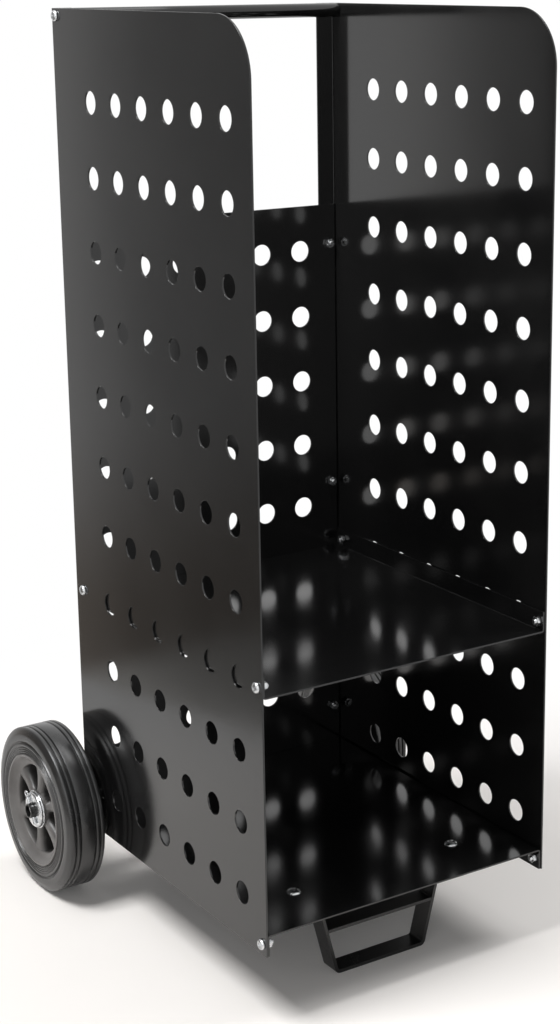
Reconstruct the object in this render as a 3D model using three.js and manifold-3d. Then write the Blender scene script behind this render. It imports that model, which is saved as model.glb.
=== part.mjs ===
// Fireside log cart: two folded, perforated side panels joined by a back panel, two tray shelves
// and a handle tube. It stands on a bent strap foot and rolls on two rubber-tyred wheels.
// Millimetres, +X right, +Y back, +Z up. The origin is on the floor under the middle of the cart.
import * as THREE from "three";
import { mergeVertices } from "three/addons/utils/BufferGeometryUtils.js";
import Module from "manifold-3d";

// ---------------------------------------------------------------- driving dimensions

// sheet metal
const sheetThickness = 2;
const sheetBendRadius = 1; // inside radius of every fold in the sheet
const pieceGap = 0.3; // between pieces that touch

// side panels
const bodyWidth = 366; // over the outer faces of the two side panels
const panelHeight = 952;
const panelDepth = 417;
const panelCornerRadius = 60; // top front corner
const rearFlangeWidth = 24;

// round perforation
const holeDiameter = 25;
const holeRowPitch = 80;
const holeEdgeMargin = 34; // least distance from a hole's centre to an edge of the sheet
const sideColumnPitch = 56.7;
const sideHoleTopMargin = 97; // top edge to the centre of the first row
const sideHoleRearMargin = 86; // rear edge to the centre of the first column
const backColumnPitch = 54;
const backHoleTopMargin = 54;
const backHoleShift = -5; // the field of holes sits a little left of the middle

// back panel
const backPanelHeight = 713;
const backPanelLift = 2; // its lower edge above the side panels' lower edges
const backPanelSideGap = 1; // clears the inside of the folds

// shelves
const shelfFlangeHeight = 24;
const upperShelfHeight = 285; // its surface above the side panels' lower edges
const shelfFrontInset = 1;
const shelfScrewFrontInset = 9; // front edge of a side panel to the screw
const shelfScrewRearInset = 20;

// handle
const handleRadius = 8;
const handleWall = 1.5;
const handleFlangeGap = 1;
const handlePlugLength = 20;

// screws, bolts and nuts
const screwRadius = 3;
const screwHeadRadius = 6;
const screwHeadHeight = 3.8;
const screwCrownRadius = 4.5; // flat top of a screw head
const screwCrownDrop = 0.8;
const threadTail = 2.5; // thread past the nut
const shankClearance = 0.3; // radial, in a drilled hole
const threadClearance = 0.15; // radial, in a nut
const nutAcrossFlats = 10;
const nutHeight = 5;
const backScrewHeights = { lower: 70, middle: 369, upper: 668 };

// axle and its brackets
const axleRadius = 9;
const axleWall = 2;
const axleBehindPanels = 26; // centre behind the panels' rear edges
const axleHeight = 17; // centre above the panels' lower edges
const bracketThickness = 3;
const bracketBendRadius = 2;
const bracketHeight = 85;
const bracketScrewHeight = 14;
const bracketEyeRadius = 17;

// wheels
const wheelRadius = 100;
const wheelWidth = 50;
const wheelSideGap = 8; // between a side panel and its tyre
const runningClearance = 0.1; // radial, hub on axle
const hubRadius = 22;
const hubLength = 37;
const rimRadius = 68;
const rimLip = 2.5; // thickness of the rim at its edge
const rimStandOut = 1; // rim edge past the tyre's side
const rimDishDepth = 8; // rim edge down to the spokes
const windowRadius = 54; // outer end of the openings between the spokes
const keyHeight = 3; // rib round the rim that holds the tyre
const keyWidth = 16;
const spokeCount = 6;
const spokeWidthAtHub = 14;
const spokeWidthAtRim = 24;
const spokeStartAngle = 23; // degrees above the level
const spokeBevel = 4; // depth of the slanted edges of a spoke
const spokeFaceShare = 0.55; // flat face of a spoke as a share of its width
const spokeRooting = 3; // how far a spoke runs into the hub and the rim
const treadHalfWidth = 20.5;
const treadGrooves = [-15.5, -9.5, 9.5, 15.5]; // from the tyre's middle
const grooveWidth = 2.4;
const grooveDepth = 2;
const shoulder = [[98.6, 22.3], [92, 24.2], [84, 24.6], [82, 23.2]]; // radius, distance from middle
const sidewallRadius = 80; // outer edge of the flat part of the tyre's side

// what keeps a wheel on the axle
const spacerRadius = 13;
const washerRadius = 23;
const washerFaceRadius = 21;
const washerFlange = 1.5;
const washerThickness = 6;
const axleStickOut = 6; // past the washer
const pinRadius = 1.6;
const pinLength = 34;
const pinEyeRadius = 3.4;
const pinEyeWire = 1.1;
const pinTilt = 33; // degrees from upright

// foot
const strapWidth = 25;
const strapThickness = 4;
const strapBendRadius = 3;
const footCentreInset = 70; // front edge of a side panel to the middle of the strap
const footBottomWidth = 120;
const footTopWidth = 172;
const footTabEnd = 121; // end of each tab from the middle
const footBarHeight = 56; // top of the cross bar above the floor
const footBoltDistance = 106; // from the middle
const boltHeadRadius = 8;
const boltHeadHeight = 3.4;
const boltCrownRadius = 4;
const boltCrownDrop = 0.5;
const footWasherRadius = 6.5;
const footWasherThickness = 1.5;

// faceting
const holeSides = 8;
const smallSides = 6;
const hexagonSides = 6;
const eyeWireSides = 5;
const eyeSides = 8;
const tubeSides = 12;
const hubSides = 12;
const wheelSides = 20;
const cornerSegments = 6;
const foldSegments = 2;

// ---------------------------------------------------------------- derived dimensions

const halfWidth = bodyWidth / 2;
const innerHalfWidth = halfWidth - sheetThickness;
const groundClearance = wheelRadius - axleHeight;
const overallDepth = panelDepth + axleBehindPanels + wheelRadius;
const rearEdgeY = panelDepth - overallDepth / 2;
const wheelMiddleX = halfWidth + wheelSideGap + wheelWidth / 2;
const washerX = wheelMiddleX + hubLength / 2 + pieceGap;
const pinX = washerX + washerThickness + pieceGap + pinRadius;
const axleHalfLength = washerX + washerThickness + axleStickOut;
const backPanelTop = backPanelLift + backPanelHeight;
const backPanelRearY = -(sheetThickness + pieceGap);
const backPanelFrontY = backPanelRearY - sheetThickness;
const flangeScrewX = halfWidth - rearFlangeWidth / 2;
const handleY = -(sheetThickness + handleFlangeGap + handleRadius);
const handleZ = panelHeight - handleRadius;
const shelfUnderside = shelfFlangeHeight - sheetThickness;
const footY = footCentreInset - panelDepth;
const footFrontY = footY - strapWidth / 2;
const axisX = new THREE.Vector3(1, 0, 0);
const forward = new THREE.Vector3(0, -1, 0);
const down = new THREE.Vector3(0, 0, -1);
const sides = { left: -1, right: 1 };

// ---------------------------------------------------------------- solids

const wasm = await Module();
wasm.setup();

/** A closed three.js geometry as a solid that can be cut and joined. */
function solid(geometry) {
  geometry.deleteAttribute("normal");
  geometry.deleteAttribute("uv");
  const merged = mergeVertices(geometry, 1e-4);
  return new wasm.Manifold(new wasm.Mesh({
    numProp: 3,
    vertProperties: new Float32Array(merged.attributes.position.array),
    triVerts: new Uint32Array(merged.index.array),
  }));
}

/** A solid as a three.js geometry. */
function geometryOf(body) {
  const mesh = body.getMesh();
  const geometry = new THREE.BufferGeometry();
  geometry.setAttribute("position", new THREE.BufferAttribute(mesh.vertProperties, 3));
  geometry.setIndex(new THREE.BufferAttribute(mesh.triVerts, 1));
  return geometry;
}

/** Radius of a faceted hole that clears a round of the given radius at every facet. */
function clearRadius(radius, clearance, facets) {
  return (radius + clearance) / Math.cos(Math.PI / facets);
}

/** A round hole to add to a shape. */
function roundHole(x, y, radius, facets) {
  const points = [];
  for (let i = 0; i < facets; i += 1) {
    const angle = (2 * Math.PI * (i + 0.5)) / facets;
    points.push(new THREE.Vector2(x + radius * Math.cos(angle), y + radius * Math.sin(angle)));
  }
  return new THREE.Path(points);
}

function extrude(shape, depth) {
  return new THREE.ExtrudeGeometry(shape, { depth, bevelEnabled: false, curveSegments: cornerSegments });
}

/** Turns an extrusion so that its shape lies in Y and Z and its depth runs along +X from startX. */
function alongX(geometry, startX) {
  const axisY = new THREE.Vector3(0, 1, 0);
  const axisZ = new THREE.Vector3(0, 0, 1);
  const basis = new THREE.Matrix4().makeBasis(axisY, axisZ, axisX);
  return solid(geometry.applyMatrix4(basis).translate(startX, 0, 0));
}

/** Turns an extrusion so that its shape lies in X and Z and its depth runs forward from rearY. */
function alongY(geometry, rearY) {
  return solid(geometry.rotateX(Math.PI / 2).translate(0, rearY, 0));
}

/**
 * The section of a bent strip: the corners are those of its middle line, and each bend has the
 * given inside radius.
 */
function bentStrip(corners, thickness, bendRadius) {
  const oneSide = [];
  const otherSide = [];
  const addPair = (point, direction) => {
    const offset = new THREE.Vector2(-direction.y, direction.x).multiplyScalar(thickness / 2);
    oneSide.push(point.clone().add(offset));
    otherSide.unshift(point.clone().sub(offset));
  };
  const heading = (i) => corners[i + 1].clone().sub(corners[i]).normalize();
  const middleRadius = bendRadius + thickness / 2;
  const last = corners.length - 1;
  addPair(corners[0], heading(0));
  for (let i = 1; i < last; i += 1) {
    const before = heading(i - 1);
    const turn = Math.atan2(before.cross(heading(i)), before.dot(heading(i)));
    const run = middleRadius * Math.tan(Math.abs(turn) / 2);
    const start = corners[i].clone().addScaledVector(before, -run);
    const toCentre = new THREE.Vector2(-before.y, before.x).multiplyScalar(Math.sign(turn) * middleRadius);
    const centre = start.clone().add(toCentre);
    for (let step = 0; step <= foldSegments; step += 1) {
      const angle = (turn * step) / foldSegments;
      const direction = before.clone().rotateAround(new THREE.Vector2(), angle);
      addPair(start.clone().rotateAround(centre, angle), direction);
    }
  }
  addPair(corners[last], heading(last - 1));
  return new THREE.Shape([...oneSide, ...otherSide]);
}

/** A solid turned round the X axis from a closed profile of [radius, x] pairs. */
function turned(profile, facets) {
  const points = [...profile, profile[0]].map(([radius, x]) => new THREE.Vector2(radius, x));
  return solid(new THREE.LatheGeometry(points, facets).rotateZ(-Math.PI / 2));
}

/** A rod along +X from 0. */
function rod(radius, length, facets) {
  return turned([[0, 0], [radius, 0], [radius, length], [0, length]], facets);
}

/** A sleeve along +X from 0. */
function sleeve(outerRadius, innerRadius, length, facets) {
  return turned([
    [innerRadius, 0],
    [outerRadius, 0],
    [outerRadius, length],
    [innerRadius, length],
  ], facets);
}

/** A copy of a solid that lies along +X, turned to a direction and moved to a position. */
function placed(body, position, direction) {
  const turn = new THREE.Quaternion().setFromUnitVectors(axisX, direction);
  const matrix = new THREE.Matrix4().compose(position, turn, new THREE.Vector3(1, 1, 1));
  return body.transform(matrix.elements);
}

function cut(body, cutters) {
  return cutters.reduce((rest, cutter) => rest.subtract(cutter), body);
}

// ---------------------------------------------------------------- scene helpers

function finish(color, roughness, metalness) {
  return () => new THREE.MeshStandardMaterial({ color, roughness, metalness });
}

const blackGloss = finish(0x0d0d0e, 0.2, 0.0);
const blackSatin = finish(0x121213, 0.4, 0.0);
const zinc = finish(0xc9ccd0, 0.25, 1.0);
const rubber = finish(0x2b2b2c, 0.55, 0.0);
const greyPlastic = finish(0x68625e, 0.5, 0.0);

function addPiece(parent, name, body, material) {
  const piece = new THREE.Mesh(geometryOf(body), material());
  piece.name = name;
  parent.add(piece);
  return piece;
}

/** A group whose +X axis points in the given direction. */
function addFrame(parent, position, direction) {
  const frame = new THREE.Group();
  frame.position.copy(position);
  frame.quaternion.setFromUnitVectors(axisX, direction);
  parent.add(frame);
  return frame;
}

// ---------------------------------------------------------------- fasteners

const drillRadius = clearRadius(screwRadius, shankClearance, smallSides);
const threadHoleRadius = clearRadius(screwRadius, threadClearance, smallSides);

/** A cutter for a screw hole through everything from start, for the given length. */
function drill(start, direction, length) {
  return placed(rod(drillRadius, length, smallSides), start, direction);
}

/** Pan-head screw along +X, the underside of its head at 0. */
function panScrew(length) {
  return turned([
    [0, -screwHeadHeight],
    [screwCrownRadius, screwCrownDrop - screwHeadHeight],
    [screwHeadRadius, 0],
    [screwRadius, 0],
    [screwRadius, length],
    [0, length],
  ], smallSides);
}

/** Round-headed bolt along +X, the underside of its head at 0. */
function roundBolt(length) {
  return turned([
    [0, -boltHeadHeight],
    [boltCrownRadius, boltCrownDrop - boltHeadHeight],
    [boltHeadRadius, 0],
    [screwRadius, 0],
    [screwRadius, length],
    [0, length],
  ], smallSides);
}

/** Hexagon nut along +X from 0. */
function hexNut() {
  const cornerRadius = nutAcrossFlats / 2 / Math.cos(Math.PI / hexagonSides);
  return sleeve(cornerRadius, threadHoleRadius, nutHeight, hexagonSides);
}

/** A screw whose head lies on a stack of plates, and the nut behind them. */
function addScrewAndNut(parent, names, position, direction, stack) {
  const frame = addFrame(parent, position, direction);
  const length = pieceGap + stack + pieceGap + nutHeight + threadTail;
  addPiece(frame, names.screw, panScrew(length), zinc).position.x = -pieceGap;
  addPiece(frame, names.nut, hexNut(), zinc).position.x = stack + pieceGap;
}

// ---------------------------------------------------------------- sheet-metal body
// In the body's frame Y is measured from the panels' rear edges and Z from their lower edges.

const shelfScrewYs = { front: shelfScrewFrontInset - panelDepth, rear: -shelfScrewRearInset };
const shelfScrewZs = {
  upper_shelf: upperShelfHeight - sheetThickness + shelfFlangeHeight / 2,
  lower_shelf: shelfFlangeHeight / 2,
};
const flangeScrewZs = [bracketScrewHeight, ...Object.values(backScrewHeights)];

/** Cutters for the screws that pass through a rear flange and what is screwed to it. */
function flangeDrills(side, heights) {
  const length = rearFlangeWidth;
  return heights.map((z) => {
    const start = new THREE.Vector3(side * flangeScrewX, length / 2, z);
    return drill(start, forward, length);
  });
}

/** How many holes fit in a row whose first centre lies at the given distance from the far edge. */
function holeCount(distance, pitch) {
  return 1 + Math.max(0, Math.floor((distance - holeEdgeMargin) / pitch));
}

/** Outline of a side panel in Y and Z, with its perforation. */
function sidePanelOutline() {
  const shape = new THREE.Shape();
  const cornerY = panelCornerRadius - panelDepth;
  const cornerZ = panelHeight - panelCornerRadius;
  shape.moveTo(-panelDepth, 0);
  shape.lineTo(0, 0);
  shape.lineTo(0, panelHeight);
  shape.absarc(cornerY, cornerZ, panelCornerRadius, Math.PI / 2, Math.PI, false);
  shape.closePath();
  const rows = holeCount(panelHeight - sideHoleTopMargin, holeRowPitch);
  const columns = holeCount(panelDepth - sideHoleRearMargin, sideColumnPitch);
  for (let row = 0; row < rows; row += 1) {
    for (let column = 0; column < columns; column += 1) {
      const y = -sideHoleRearMargin - column * sideColumnPitch;
      const z = panelHeight - sideHoleTopMargin - row * holeRowPitch;
      shape.holes.push(roundHole(y, z, holeDiameter / 2, holeSides));
    }
  }
  return shape;
}

/** Side panel with its rear flange folded inwards. */
function sidePanel(side) {
  const half = sheetThickness / 2;
  const plan = bentStrip([
    new THREE.Vector2(side * (halfWidth - half), -panelDepth),
    new THREE.Vector2(side * (halfWidth - half), -half),
    new THREE.Vector2(side * (halfWidth - rearFlangeWidth), -half),
  ], sheetThickness, sheetBendRadius);
  const folded = solid(extrude(plan, panelHeight));
  const startX = side < 0 ? -halfWidth : halfWidth - rearFlangeWidth;
  const outline = alongX(extrude(sidePanelOutline(), rearFlangeWidth), startX);
  const shelfDrills = Object.values(shelfScrewZs).flatMap((z) => Object.values(shelfScrewYs)
    .map((y) => drill(new THREE.Vector3(startX, y, z), axisX, rearFlangeWidth)));
  const handleDrill = drill(new THREE.Vector3(startX, handleY, handleZ), axisX, rearFlangeWidth);
  const drills = [...shelfDrills, handleDrill, ...flangeDrills(side, flangeScrewZs)];
  return cut(folded.intersect(outline), drills);
}

/** Perforated back panel, in front of the rear flanges. */
function backPanel() {
  const edge = innerHalfWidth - backPanelSideGap;
  const shape = new THREE.Shape([
    new THREE.Vector2(-edge, backPanelLift),
    new THREE.Vector2(edge, backPanelLift),
    new THREE.Vector2(edge, backPanelTop),
    new THREE.Vector2(-edge, backPanelTop),
  ]);
  const rows = holeCount(backPanelHeight - backHoleTopMargin, holeRowPitch);
  const columns = holeCount(2 * edge - holeEdgeMargin, backColumnPitch);
  for (let row = 0; row < rows; row += 1) {
    for (let column = 0; column < columns; column += 1) {
      const x = backHoleShift + (column - (columns - 1) / 2) * backColumnPitch;
      const z = backPanelTop - backHoleTopMargin - row * holeRowPitch;
      shape.holes.push(roundHole(x, z, holeDiameter / 2, holeSides));
    }
  }
  const sheet = alongY(extrude(shape, sheetThickness), backPanelRearY);
  return cut(sheet, Object.values(sides).flatMap((side) => flangeDrills(side, flangeScrewZs)));
}

/** Tray shelf with its surface at the given height and its side flanges ending at another. */
function shelf(surfaceZ, flangeEndZ, screwZ) {
  const half = sheetThickness / 2;
  const edge = innerHalfWidth - pieceGap - half;
  const section = bentStrip([
    new THREE.Vector2(-edge, flangeEndZ),
    new THREE.Vector2(-edge, surfaceZ - half),
    new THREE.Vector2(edge, surfaceZ - half),
    new THREE.Vector2(edge, flangeEndZ),
  ], sheetThickness, sheetBendRadius);
  const rearY = backPanelFrontY - pieceGap;
  const tray = alongY(extrude(section, panelDepth - shelfFrontInset + rearY), rearY);
  return cut(tray, Object.values(shelfScrewYs)
    .map((y) => drill(new THREE.Vector3(-halfWidth, y, screwZ), axisX, bodyWidth)));
}

/** Handle tube with a threaded plug welded into each end, along +X from 0. */
function handleTube(length) {
  const bore = handleRadius - handleWall;
  return turned([
    [threadHoleRadius, 0],
    [handleRadius, 0],
    [handleRadius, length],
    [threadHoleRadius, length],
    [threadHoleRadius, length - handlePlugLength],
    [bore, length - handlePlugLength],
    [bore, handlePlugLength],
    [threadHoleRadius, handlePlugLength],
  ], tubeSides);
}

// ---------------------------------------------------------------- foot

const footTabTop = shelfUnderside - pieceGap;
const footWasherTop = footTabTop - strapThickness - pieceGap;
const footNutTop = footWasherTop - footWasherThickness - pieceGap;

/** Cutters for the foot bolts, down through the lower shelf and the foot's tabs. */
function footDrills() {
  return Object.values(sides).map((side) => {
    const start = new THREE.Vector3(side * footBoltDistance, footY, shelfFlangeHeight + sheetThickness);
    return drill(start, down, shelfFlangeHeight);
  });
}

/** Bent strap foot with a bar welded across its legs. */
function frontFoot() {
  const half = strapThickness / 2;
  const bottom = new THREE.Vector2(footBottomWidth / 2 - half, half - groundClearance);
  const top = new THREE.Vector2(footTopWidth / 2 - half, footTabTop - half);
  const rightSide = [bottom, top, new THREE.Vector2(footTabEnd, top.y)];
  const leftSide = rightSide.map(({ x, y }) => new THREE.Vector2(-x, y)).reverse();
  const section = bentStrip([...leftSide, ...rightSide], strapThickness, strapBendRadius);
  const strap = alongY(extrude(section, strapWidth), footFrontY + strapWidth);
  const barTop = footBarHeight - groundClearance;
  const barBottom = barTop - strapThickness;
  const legX = (z) => THREE.MathUtils.mapLinear(z, bottom.y, top.y, bottom.x, top.x);
  const barSection = new THREE.Shape([
    new THREE.Vector2(-legX(barBottom), barBottom),
    new THREE.Vector2(legX(barBottom), barBottom),
    new THREE.Vector2(legX(barTop), barTop),
    new THREE.Vector2(-legX(barTop), barTop),
  ]);
  const bar = alongY(extrude(barSection, strapWidth), footFrontY + strapWidth);
  return cut(strap.add(bar), footDrills());
}

// ---------------------------------------------------------------- axle and brackets

/** Folded bracket screwed to a rear flange, with the eye that carries the axle. */
function axleBracket(side) {
  const half = bracketThickness / 2;
  const baseY = pieceGap;
  const plan = bentStrip([
    new THREE.Vector2(side * (halfWidth - rearFlangeWidth), baseY + half),
    new THREE.Vector2(side * (halfWidth - half), baseY + half),
    new THREE.Vector2(side * (halfWidth - half), axleBehindPanels + bracketEyeRadius),
  ], bracketThickness, bracketBendRadius);
  const eye = new THREE.Vector2(axleBehindPanels, axleHeight);
  const earTop = new THREE.Vector2(baseY + 2 * bracketThickness, bracketHeight);
  const away = earTop.clone().sub(eye);
  const slopeEnd = away.angle() - Math.acos(bracketEyeRadius / away.length());
  const outline = new THREE.Shape();
  outline.moveTo(baseY, bracketHeight);
  outline.lineTo(baseY, eye.y - bracketEyeRadius);
  outline.absarc(eye.x, eye.y, bracketEyeRadius, -Math.PI / 2, slopeEnd, false);
  outline.lineTo(earTop.x, earTop.y);
  outline.closePath();
  outline.holes.push(roundHole(eye.x, eye.y, clearRadius(axleRadius, pieceGap, tubeSides), tubeSides));
  const startX = side < 0 ? -halfWidth : halfWidth - rearFlangeWidth;
  const folded = solid(extrude(plan, bracketHeight));
  const shaped = folded.intersect(alongX(extrude(outline, rearFlangeWidth), startX));
  return cut(shaped, flangeDrills(side, [bracketScrewHeight, backScrewHeights.lower]));
}

const pinLean = THREE.MathUtils.degToRad(pinTilt);

/** Axle tube with a cross hole for a split pin at each end; its middle is at 0. */
function axleTube() {
  const length = 2 * axleHalfLength;
  const tube = sleeve(axleRadius, axleRadius - axleWall, length, tubeSides).translate(-length / 2, 0, 0);
  const bore = rod(clearRadius(pinRadius, threadClearance, smallSides), 4 * axleRadius, smallSides);
  return cut(tube, Object.values(sides).map((side) => {
    const direction = new THREE.Vector3(0, -side * Math.sin(pinLean), Math.cos(pinLean));
    const start = new THREE.Vector3(side * pinX, 0, 0).addScaledVector(direction, -2 * axleRadius);
    return placed(bore, start, direction);
  }));
}

// ---------------------------------------------------------------- wheels
// In a wheel's frame +X points away from the cart and the wheel's middle plane is at 0.

/** The part of a profile on the far side of the middle plane, from that on the near side. */
function mirrored(profile) {
  return profile.map(([radius, x]) => [radius, -x]).reverse();
}

/** Solid rubber tyre with V-shaped grooves round its tread. */
function tyre() {
  const bore = rimRadius + pieceGap;
  const side = wheelWidth / 2;
  const outerSide = [
    [wheelRadius, treadHalfWidth],
    ...shoulder,
    [sidewallRadius, side],
    [bore, side],
  ];
  const tread = treadGrooves.flatMap((x) => [
    [wheelRadius, x - grooveWidth / 2],
    [wheelRadius - grooveDepth, x],
    [wheelRadius, x + grooveWidth / 2],
  ]);
  const keyGroove = [[bore, keyWidth / 2], [bore + keyHeight, 0], [bore, -keyWidth / 2]];
  return turned([...mirrored(outerSide), ...tread, ...outerSide, ...keyGroove], wheelSides);
}

/** One spoke along +Y, wider at the rim than at the hub, with slanted edges on both faces. */
function spoke() {
  const start = hubRadius - spokeRooting;
  const end = windowRadius + spokeRooting;
  const face = wheelWidth / 2 + rimStandOut - rimDishDepth;
  const side = face - spokeBevel;
  const faceEdge = spokeFaceShare / 2; // shares of the spoke's width
  const sideEdge = 0.5;
  const section = new THREE.Shape([
    new THREE.Vector2(face, faceEdge),
    new THREE.Vector2(side, sideEdge),
    new THREE.Vector2(-side, sideEdge),
    new THREE.Vector2(-face, faceEdge),
    new THREE.Vector2(-face, -faceEdge),
    new THREE.Vector2(-side, -sideEdge),
    new THREE.Vector2(side, -sideEdge),
    new THREE.Vector2(face, -faceEdge),
  ]);
  const geometry = extrude(section, end - start).rotateX(-Math.PI / 2).translate(0, start, 0);
  const position = geometry.attributes.position;
  for (let i = 0; i < position.count; i += 1) {
    const y = position.getY(i);
    const width = THREE.MathUtils.mapLinear(y, start, end, spokeWidthAtHub, spokeWidthAtRim);
    position.setZ(i, position.getZ(i) * width);
  }
  return solid(geometry);
}

/** Moulded rim: a ribbed and dished barrel and a hub, joined by flared spokes. */
function rim() {
  const edge = wheelWidth / 2 + rimStandOut;
  const outerSide = [
    [rimRadius, keyWidth / 2],
    [rimRadius, edge],
    [rimRadius - rimLip, edge],
    [windowRadius, edge - rimDishDepth],
  ];
  const barrel = turned([...mirrored(outerSide), [rimRadius + keyHeight, 0], ...outerSide], wheelSides);
  const bore = clearRadius(axleRadius, runningClearance, hubSides);
  const hub = rod(hubRadius, hubLength, hubSides).translate(-hubLength / 2, 0, 0);
  const bar = spoke();
  let body = barrel.add(hub);
  for (let i = 0; i < spokeCount; i += 1) {
    body = body.add(bar.rotate([spokeStartAngle + (360 * i) / spokeCount, 0, 0]));
  }
  return body.subtract(rod(bore, wheelWidth, hubSides).translate(-wheelWidth / 2, 0, 0));
}

const keeperBore = clearRadius(axleRadius, pieceGap, hubSides);

/** Thick washer along +X from 0, with a rounded edge and a thin flange at its back. */
function wheelWasher() {
  return turned([
    [keeperBore, 0],
    [washerRadius, 0],
    [washerRadius, washerFlange],
    [washerFaceRadius + washerFlange / 2, washerFlange * 2],
    [washerFaceRadius, washerThickness],
    [keeperBore, washerThickness],
  ], hubSides);
}

/** Upright split pin with its eye on top; the axle's centre line passes at 0. */
function splitPin() {
  const top = new THREE.Vector3(0, 0, pinLength / 2);
  const legs = placed(rod(pinRadius, pinLength, smallSides), top, down);
  const eye = new THREE.TorusGeometry(pinEyeRadius, pinEyeWire, eyeWireSides, eyeSides)
    .rotateY(Math.PI / 2)
    .translate(0, 0, top.z + pinEyeRadius);
  return legs.add(solid(eye));
}

// ---------------------------------------------------------------- assembly

const cart = new THREE.Group();

const body = new THREE.Group();
body.position.set(0, rearEdgeY, groundClearance);
cart.add(body);

addPiece(body, "left_side_panel", sidePanel(sides.left), blackGloss);
addPiece(body, "right_side_panel", sidePanel(sides.right), blackGloss);
addPiece(body, "back_panel", backPanel(), blackGloss);
const upperFlangeEnd = upperShelfHeight - sheetThickness + shelfFlangeHeight;
addPiece(body, "upper_shelf", shelf(upperShelfHeight, upperFlangeEnd, shelfScrewZs.upper_shelf), blackGloss);
const lowerShelf = shelf(shelfFlangeHeight, 0, shelfScrewZs.lower_shelf);
addPiece(body, "lower_shelf", cut(lowerShelf, footDrills()), blackGloss);

const handleLength = 2 * (innerHalfWidth - pieceGap);
const handleStart = new THREE.Vector3(-handleLength / 2, handleY, handleZ);
addPiece(body, "handle_tube", handleTube(handleLength), blackGloss).position.copy(handleStart);

for (const [sideName, side] of Object.entries(sides)) {
  const inward = new THREE.Vector3(-side, 0, 0);
  const handleEnd = new THREE.Vector3(side * (halfWidth + pieceGap), handleY, handleZ);
  addPiece(addFrame(body, handleEnd, inward), `handle_screw_${sideName}`, panScrew(handlePlugLength), zinc);
  for (const [shelfName, z] of Object.entries(shelfScrewZs)) {
    for (const [endName, y] of Object.entries(shelfScrewYs)) {
      addScrewAndNut(body, {
        screw: `${shelfName}_screw_${sideName}_${endName}`,
        nut: `${shelfName}_nut_${sideName}_${endName}`,
      }, new THREE.Vector3(side * halfWidth, y, z), inward, 2 * sheetThickness + pieceGap);
    }
  }
  const backStack = 2 * sheetThickness + pieceGap;
  for (const level of ["middle", "upper"]) {
    addScrewAndNut(body, {
      screw: `back_panel_screw_${sideName}_${level}`,
      nut: `back_panel_nut_${sideName}_${level}`,
    }, new THREE.Vector3(side * flangeScrewX, 0, backScrewHeights[level]), forward, backStack);
  }
  const bracketStack = bracketThickness + pieceGap;
  for (const [level, z] of [["lower", bracketScrewHeight], ["upper", backScrewHeights.lower]]) {
    addScrewAndNut(body, {
      screw: `bracket_screw_${sideName}_${level}`,
      nut: `bracket_nut_${sideName}_${level}`,
    }, new THREE.Vector3(side * flangeScrewX, bracketStack, z), forward, bracketStack + backStack);
  }
  addPiece(body, `axle_bracket_${sideName}`, axleBracket(side), blackSatin);
}

addPiece(body, "front_foot", frontFoot(), blackSatin);
for (const [sideName, side] of Object.entries(sides)) {
  const footBolt = addFrame(body, new THREE.Vector3(side * footBoltDistance, footY, 0), down);
  const headZ = shelfFlangeHeight + pieceGap;
  const boltLength = headZ - footNutTop + nutHeight + threadTail;
  const washer = sleeve(footWasherRadius, drillRadius, footWasherThickness, smallSides);
  addPiece(footBolt, `foot_bolt_${sideName}`, roundBolt(boltLength), zinc).position.x = -headZ;
  addPiece(footBolt, `foot_washer_${sideName}`, washer, zinc).position.x = -footWasherTop;
  addPiece(footBolt, `foot_nut_${sideName}`, hexNut(), zinc).position.x = -footNutTop;
}

const running = new THREE.Group();
running.position.set(0, axleBehindPanels, axleHeight);
body.add(running);
addPiece(running, "axle_tube", axleTube(), blackSatin);

for (const [sideName, side] of Object.entries(sides)) {
  const outward = new THREE.Group();
  outward.rotation.z = side < 0 ? Math.PI : 0;
  running.add(outward);
  const spacerX = halfWidth + pieceGap;
  const spacerLength = wheelMiddleX - hubLength / 2 - pieceGap - spacerX;
  const spacer = sleeve(spacerRadius, keeperBore, spacerLength, hubSides);
  addPiece(outward, `axle_spacer_${sideName}`, spacer, zinc).position.x = spacerX;
  addPiece(outward, `wheel_washer_${sideName}`, wheelWasher(), zinc).position.x = washerX;
  const pin = addPiece(outward, `split_pin_${sideName}`, splitPin(), zinc);
  pin.position.x = pinX;
  pin.rotation.x = pinLean;
  const wheel = new THREE.Group();
  wheel.position.x = wheelMiddleX;
  outward.add(wheel);
  addPiece(wheel, `tyre_${sideName}`, tyre(), rubber);
  addPiece(wheel, `wheel_rim_${sideName}`, rim(), greyPlastic);
}

export default cart;
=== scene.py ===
"""Looks of the fireside log cart: folded black sheet, zinc-plated fasteners, two rubber-tyred wheels."""
import math

import bmesh
import bpy
from mathutils import Matrix, Vector


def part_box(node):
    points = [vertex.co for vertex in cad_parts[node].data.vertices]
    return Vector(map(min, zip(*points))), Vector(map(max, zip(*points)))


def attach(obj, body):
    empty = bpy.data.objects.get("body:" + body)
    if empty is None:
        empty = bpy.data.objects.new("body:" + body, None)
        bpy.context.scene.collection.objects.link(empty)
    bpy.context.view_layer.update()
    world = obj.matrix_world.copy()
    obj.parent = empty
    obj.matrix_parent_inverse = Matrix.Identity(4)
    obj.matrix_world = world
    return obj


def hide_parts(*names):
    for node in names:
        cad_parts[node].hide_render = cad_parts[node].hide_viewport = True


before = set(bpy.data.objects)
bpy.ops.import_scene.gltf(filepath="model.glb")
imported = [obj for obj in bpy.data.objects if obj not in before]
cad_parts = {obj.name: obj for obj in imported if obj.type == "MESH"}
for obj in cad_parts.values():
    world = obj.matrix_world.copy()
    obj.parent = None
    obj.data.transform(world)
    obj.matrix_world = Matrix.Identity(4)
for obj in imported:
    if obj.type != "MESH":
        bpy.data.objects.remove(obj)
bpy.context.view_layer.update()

MM = 0.001
SIDES = {"left": -1, "right": 1}

# ------------------------------------------------------------------ sizes, in metres

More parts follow.
